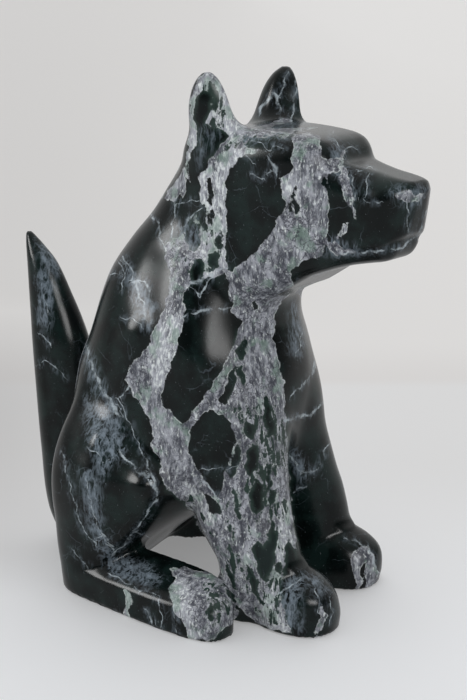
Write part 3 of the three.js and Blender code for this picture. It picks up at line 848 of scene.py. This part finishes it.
class Shader:
    # the node tree of a material or of the world
    def __init__(self, owner):
        owner.use_nodes = True
        self.tree = owner.node_tree
        self.tree.nodes.clear()

    # a node of a type, with its settings and the values or wires of its sockets; gives an output
    def add(self, kind, settings=None, inputs=None, output=0):
        node = self.tree.nodes.new(kind)
        for key, value in (settings or {}).items():
            setattr(node, key, value)
        for key, value in (inputs or {}).items():
            if isinstance(value, Wire):
                self.tree.links.new(value.socket, node.inputs[key])
            else:
                node.inputs[key].default_value = value
        return Wire(self, node.outputs[output]) if node.outputs else None

    def mix(self, factor, a, b):
        a, b = ((*c, 1) if isinstance(c, tuple) else c for c in (a, b))
        settings = {"data_type": "RGBA", "clamp_factor": True}
        return self.add("ShaderNodeMix", settings, {0: factor, 6: a, 7: b}, 2)

    # noise whose pattern is size millimetres wide; output 1 is three noises in a colour
    def noise(self, place, size, detail=2, roughness=0.5, output=0):
        inputs = {"Vector": place, "Scale": 1000 / size, "Detail": detail, "Roughness": roughness}
        return self.add("ShaderNodeTexNoise", {"normalize": True}, inputs, output)

    # millimetres to the nearest side of cells that are size millimetres wide
    def cells(self, place, size):
        inputs = {"Vector": place, "Scale": 1000 / size}
        return self.add("ShaderNodeTexVoronoi", {"feature": "DISTANCE_TO_EDGE"}, inputs) * size

    # the place, pushed about by a slow noise, so that what is drawn on it isn't straight
    def pushed(self, place, size, amount, detail=2):
        shift = self.noise(place, size, detail, output=1)
        settings = {"operation": "SUBTRACT"}
        shift = self.add("ShaderNodeVectorMath", settings, {0: shift, 1: (0.5, 0.5, 0.5)})
        settings = {"operation": "MULTIPLY_ADD"}
        return self.add("ShaderNodeVectorMath", settings, {0: shift, 1: (amount,) * 3, 2: place})

    def stretched(self, place, scale, turn):
        inputs = {"Vector": place, "Scale": scale, "Rotation": turn}
        return self.add("ShaderNodeMapping", {}, inputs)

    def attribute(self, name):
        return self.add("ShaderNodeAttribute", {"attribute_name": name}, {}, 2)

    # how far a place lies along a direction
    def along(self, place, way):
        settings = {"operation": "DOT_PRODUCT"}
        return self.add("ShaderNodeVectorMath", settings, {0: place, 1: tuple(float(w) for w in way)}, 1)

    def surface(self, colour, inputs):
        surface = self.add("ShaderNodeBsdfPrincipled", {}, {"Base Color": colour, **inputs})
        self.add("ShaderNodeOutputMaterial", {}, {"Surface": surface})


stone = {
    "darkDeep": (0.0008, 0.0018, 0.0018),
    "darkLight": (0.0042, 0.0094, 0.0087),
    "haze": (0.11, 0.135, 0.16),
    "grainDark": (0.036, 0.039, 0.049),
    "grainLight": (0.215, 0.225, 0.25),
    "fleck": (0.46, 0.49, 0.49),
    "green": (0.115, 0.17, 0.14),
    "crack": (0.018, 0.018, 0.026),
    "clast": (0.020, 0.034, 0.029),
    "vein": (0.27, 0.31, 0.335),
    "roughDark": 0.23,
    "roughPale": 0.36,
    "ior": 1.27,
    "pixel": 0.40,  # millimetres of stone to a pixel of the photograph
    "lean": (0, -0.12, 0),  # the crushed stone is drawn out along a leaning line, turned in radians
    "slim": (1, 1, 0.38),
    "slimmer": (1, 1, 0.24),
    "clastSize": 36,  # sizes of the patterns in millimetres
    "bandWidth": 26,
    "webSize": 4.8,
    "fibreSize": 3.4,
    "grainSize": 2.8,
    "fleckSize": 0.9,
    "greenSize": 6,
    "crackSize": 3.2,
    "mottleSize": 12,
    "streakSize": 2,
    "hairSize": 13,
    "dustSize": 0.5,
}


# Millimetres into the pale stone, below zero in the dark: the drawn outlines, or, where the photograph
# doesn't show the stone, bands along the sides of big clasts.
def bandDepth(s, place, shown):
    drawn = s.attribute("paleDepth") * stone["pixel"]
    big = s.pushed(s.stretched(place, (1, 1, 0.62), (0.2, 0.1, 0)), 22, 0.016, 3)
    edge = s.cells(big, stone["clastSize"])
    width = (s.noise(place, 60) - 0.43) * stone["bandWidth"]
    return drawn * shown + (width - edge) * (1 - shown)


# The pale stone: dark and light grains, white flecks, green stains, dark cracks and a whiter rim.
def paleStone(s, place, upright, slow, busy, depth):
    whiteness = s.attribute("whiteness")
    grain = s.pushed(upright, 3, 0.0016)
    coarse = s.noise(grain, stone["grainSize"], 5, 0.75)
    colour = s.mix((coarse + whiteness * 0.10).step(0.40, 0.64), stone["grainDark"], stone["grainLight"])
    small = s.noise(grain, stone["fleckSize"], 3, 0.65)
    colour = s.mix((small + whiteness * 0.08).step(0.53, 0.73) * 0.85, colour, stone["fleck"])
    green = s.noise(place, stone["greenSize"], 3) - busy * 0.02 + whiteness * 0.05
    colour = s.mix(green.step(0.54, 0.66) * 0.55, colour, stone["green"])
    cracks = s.noise(s.pushed(place, 2, 0.001), stone["crackSize"], 3, 0.6)
    crack = abs(cracks - 0.5).step(0.035, 0.008) * (slow - whiteness * 0.15).step(0.36, 0.56)
    colour = s.mix(crack * 0.8, colour, stone["crack"])
    rim = abs(depth - 0.1).step(0.34, 0.1) * s.noise(place, 3).step(0.42, 0.6)
    return s.mix(rim * (0.55 - busy * 0.3), colour, stone["fleck"])


# The dark stone: nearly black green, lighter among the threads, with haze, hairlines and dust.
def darkStone(s, place, upright, fine, finest, fibre, mottle, busy, shown, unseen):
    colour = s.mix(mottle.step(0.40, 0.68), stone["darkDeep"], stone["darkLight"])
    among = busy * s.attribute("paleDepth").step(-5, 1)
    colour = s.mix(among * (fine + 0.75), colour, stone["clast"])
    haze = s.attribute("haze") * shown + unseen.step(0.46, 0.34) * (1 - shown)
    streak = s.noise(s.pushed(upright, 6, 0.004), stone["streakSize"], 5, 0.7)
    veil = (streak + fine * 0.3 + haze * 0.14).step(0.50, 0.84)
    veil = veil.most(fibre.step(0.05, 0.005) * 0.7) * haze
    halo = s.attribute("veinGap").step(7, 1) * shown * streak.step(0.44, 0.70) * 0.5
    colour = s.mix(veil.most(halo), colour, stone["haze"])
    hairGap = s.cells(s.pushed(place, 9, 0.007, 3), stone["hairSize"])
    hair = (0.16 - hairGap + finest * 0.3 + haze * 0.12).step(0, 0.14)
    hair = hair * s.noise(place, 10, 3).step(0.50, 0.64)
    colour = s.mix(hair * (0.6 - shown * 0.38), colour, stone["haze"])
    dust = s.noise(place, stone["dustSize"], 1).step(0.73, 0.80)
    return s.mix(dust * 0.3, colour, stone["vein"])


def makeStone():
    material = bpy.data.materials.new("serpentine")
    s = Shader(material)
    place = s.add("ShaderNodeTexCoord", {}, {}, 3)
    upright = s.stretched(place, stone["slim"], stone["lean"])
    slow = s.noise(place, 14)
    ragged = s.noise(place, 5, 3) - 0.5
    fine = s.noise(place, 1.8, 3, 0.6) - 0.5
    finest = s.noise(place, 0.7) - 0.5
    slimmer = s.stretched(place, stone["slimmer"], stone["lean"])
    fibre = abs(s.noise(s.pushed(slimmer, 4, 0.002), stone["fibreSize"], 3) - 0.5)
    mottle = s.noise(place, stone["mottleSize"], 4, 0.6)
    unseen = s.noise(place, 42, 1)  # what the stone is like where the photograph doesn't show it
    shown = s.attribute("shown")
    busy = s.attribute("busy") * shown + unseen.step(0.50, 0.58) * (1 - shown)

    # where the stone was crushed finest the pale part is a web of threads round long dark clasts
    depth = bandDepth(s, place, shown) + ragged * 1.2 + fine * 1.5 + finest * 0.6
    webGap = s.cells(s.pushed(upright, 7, 0.004, 3), stone["webSize"])
    thread = ((slow - 0.5) * 6 - webGap + 0.8).most(0.42 - fibre * 9) + fine * 1.8 + finest * 1.2
    depth = depth.least(thread + (1 - busy) * 12)
    isPale = depth.step(-0.22, 0.3)
    palePart = paleStone(s, place, upright, slow, busy, depth)
    darkPart = darkStone(s, place, upright, fine, finest, fibre, mottle, busy, shown, unseen)
    colour = s.mix(isPale, darkPart, palePart)

    # single veins drawn from the photograph, broken and feathered
    across = abs(s.attribute("veinAcross") + fine * 2.2 + finest * 1.6) * (mottle * 3 - 0.5)
    vein = across.step(1.3, 0.3) * s.attribute("veinGap").step(4.0, 2.6) * shown
    vein = vein * s.noise(place, 3.5, 4, 0.7).step(0.36, 0.66)
    colour = s.mix(vein * 0.8, colour, stone["vein"])

    rough = stone["roughDark"] + (stone["roughPale"] - stone["roughDark"]) * isPale + fine * 0.06
    s.surface(colour, {"Roughness": rough, "IOR": stone["ior"]})
    return material


# The dog

# 0 below low, 1 above high and 3t² - 2t³ between.
def smoothStep(value, low, high):
    t = np.clip((value - low) / (high - low), 0, 1)
    return t * t * (3 - 2 * t)


# Gives every point of the mesh its place in the stone's layout.
def layOut(mesh, points):
    normals = np.zeros(len(points) * 3, np.float32)
    mesh.vertices.foreach_get("normal", normals)
    toCamera = np.array(photoView["place"]) - points
    toCamera /= np.linalg.norm(toCamera, axis=1)[:, None]
    across, down = wobbled(*inPhotograph(points))
    signed, gap = veinDistance(across, down)
    values = {
        "shown": smoothStep((normals.reshape(-1, 3) * toCamera).sum(axis=1), 0.02, 0.26),
        "paleDepth": np.minimum(depthIn(pale, across, down), -depthIn(dark, across, down)),
        "whiteness": smoothStep(depthIn(white, across, down), -4, 5),
        "haze": smoothStep(depthIn(cloud, across, down), -7, 6),
        "busy": smoothStep(depthIn(crushed, across, down), -6, 6),
        "veinAcross": signed,
        "veinGap": gap,
    }
    for name, value in values.items():
        layer = mesh.attributes.new(name, "FLOAT", "POINT")
        layer.data.foreach_set("value", value.astype(np.float32))


def makeDog():
    points, quads = netOver(np.array(netLow), np.array(netHigh), netStep)
    points = (points - stance["middle"]) * share + (dogLow + dogHigh) / 2 * (1, 1, 0)
    mesh = bpy.data.meshes.new("dog_stone")
    mesh.from_pydata(points.tolist(), [], quads.tolist())
    mesh.shade_smooth()
    layOut(mesh, points)
    mesh.materials.append(makeStone())
    dog = addObject("dog_stone", mesh)
    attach(dog, "root")
    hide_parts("dog")
    print("dog:", len(points), "points and", len(quads), "quads")
    return dog


# Floor and light

studio = {
    "floorSize": 120.0,
    "floorColour": (0.535, 0.535, 0.537),
    "floorRough": 0.6,
    "floorIor": 1.12,
    "floorGlow": 0.235,  # what the floor gives off of itself, so that it hardly darkens round the dog
    "paintedNearLight": (0.72, 0.735, 0.76),  # painted light: the floor before the dog is lighter and a little bluer
    "nearOver": (0.62, 0.40),  # metres ahead of the camera over which it comes in
    "rightStart": 0.03,  # painted light: the floor is lighter to the right
    "rightLift": 0.14,  # by so much a metre
    "rightMost": 0.115,
    "wallColour": (0.565, 0.552, 0.54),  # the pale floor turns warmer beyond a distance
    "wallOver": (0.731, 0.753),
    "seamShadeColour": (0.515, 0.498, 0.487),  # and, as painted shade, is darkest where that begins
    "seamOver": (0.84, 0.742),
    "leftShadeColour": (0.25, 0.243, 0.24),  # and has painted shade far to the left, beside the dog
    "leftIn": (0.455, 0.51),  # metres ahead over which the left shade comes in and goes
    "leftOut": (1.05, 0.62),
    "leftOver": (-0.02, -0.30),  # metres aside over which it comes in and goes
    "leftEnd": (-1.0, -0.45),
    "leftTurn": -0.10,
    "wallShade": 0.32,  # the wall part gets painted shade a little too, the more the further left
    "wallShadeOver": (0.8, 1.0),
    "wallShadeSide": (0.14, -0.2),  # metres aside for each metre ahead
    "skyLow": 0.04,
    "skyHigh": 1.5,
    "skyOver": (-0.15, 1.2),  # how high and how far behind the dog the sky brightens
    "skyBehind": 0.55,
    "aim": (0, 0, 0.09),
    "boxes": {  # degrees round from the dog's right side, degrees up, metres off, wide, tall, radiance
        "left": (-49, 22, 1.5, 0.42, 0.7, 19),
        "right": (52, 22, 1.5, 0.95, 0.42, 15),
    },
}


def makeFloor():
    half = studio["floorSize"] / 2
    corners = [(-half, -half, 0), (half, -half, 0), (half, half, 0), (-half, half, 0)]
    mesh = bpy.data.meshes.new("floor")
    mesh.from_pydata(corners, [], [(0, 1, 2, 3)])
    floor = addObject("floor", mesh)
    material = bpy.data.materials.new("floorPaint")
    s = Shader(material)
    place = s.add("ShaderNodeTexCoord", {}, {}, 3)
    away = s.along(place, levelAhead) - float(np.dot(photoView["place"], levelAhead))
    aside = s.along(place, right)
    # painted light: the floor is lighter before the dog
    colour = s.mix(away.step(*studio["nearOver"]), studio["floorColour"], studio["paintedNearLight"])
    # painted shade along the seam where the warmer part begins
    wall = s.mix(away.step(*studio["seamOver"]), studio["wallColour"], studio["seamShadeColour"])
    colour = s.mix(away.step(*studio["wallOver"]), colour, wall)
    # painted light: the floor is whitened towards the right
    paintedRightLight = (aside * studio["rightLift"] + studio["rightStart"]).most(0).least(studio["rightMost"])
    colour = s.mix(paintedRightLight, colour, (1, 1, 1))
    # painted shade: a patch far to the left beside the dog, and a little over the wall part
    wallShade = (aside / away).step(*studio["wallShadeSide"]) * away.step(*studio["wallShadeOver"])
    leaned = aside + away * studio["leftTurn"]
    shade = away.step(*studio["leftIn"]) * away.step(*studio["leftOut"])
    shade = shade * leaned.step(*studio["leftOver"]) * leaned.step(*studio["leftEnd"])
    colour = s.mix(shade.most(wallShade * studio["wallShade"]), colour, studio["leftShadeColour"])
    finish = {"Roughness": studio["floorRough"], "IOR": studio["floorIor"]}
    glow = {"Emission Color": (1, 1, 1, 1), "Emission Strength": studio["floorGlow"]}
    s.surface(colour, finish | glow)
    mesh.materials.append(material)


# The sky is dark round the camera and bright overhead and behind the dog.
def makeSky():
    world = bpy.data.worlds.new("room")
    bpy.context.scene.world = world
    s = Shader(world)
    toward = s.add("ShaderNodeTexCoord", {}, {}, 3)
    level = s.along(toward, levelAhead * studio["skyBehind"] + (0, 0, 1))
    light = level.step(*studio["skyOver"])
    light = light * (studio["skyHigh"] - studio["skyLow"]) + studio["skyLow"]
    background = s.add("ShaderNodeBackground", {}, {"Strength": light})
    s.add("ShaderNodeOutputWorld", {}, {"Surface": background})
    bpy.context.scene.view_settings.view_transform = "Standard"


# The boxes light the stone alone and leave the floor to the sky.
def makeBoxes(dog):
    aim = Vector(studio["aim"])
    lit = bpy.data.collections.new("lit")
    lit.objects.link(dog)
    for name, (bearing, elevation, distance, width, height, radiance) in studio["boxes"].items():
        a, e = math.radians(bearing), math.radians(elevation)
        way = Vector((math.sin(a) * math.cos(e), -math.cos(a) * math.cos(e), math.sin(e)))
        data = bpy.data.lights.new(name, "AREA")
        data.shape = "RECTANGLE"
        data.size, data.size_y = width, height
        data.energy = radiance * math.pi * width * height
        box = addObject(name, data)
        turn = (-way).to_track_quat("-Z", "Y").to_matrix().to_4x4()
        box.matrix_world = Matrix.Translation(aim + way * distance) @ turn
        box.visible_camera = False
        box.light_linking.receiver_collection = lit


makeCamera()
dog = makeDog()
makeFloor()
makeSky()
makeBoxes(dog)
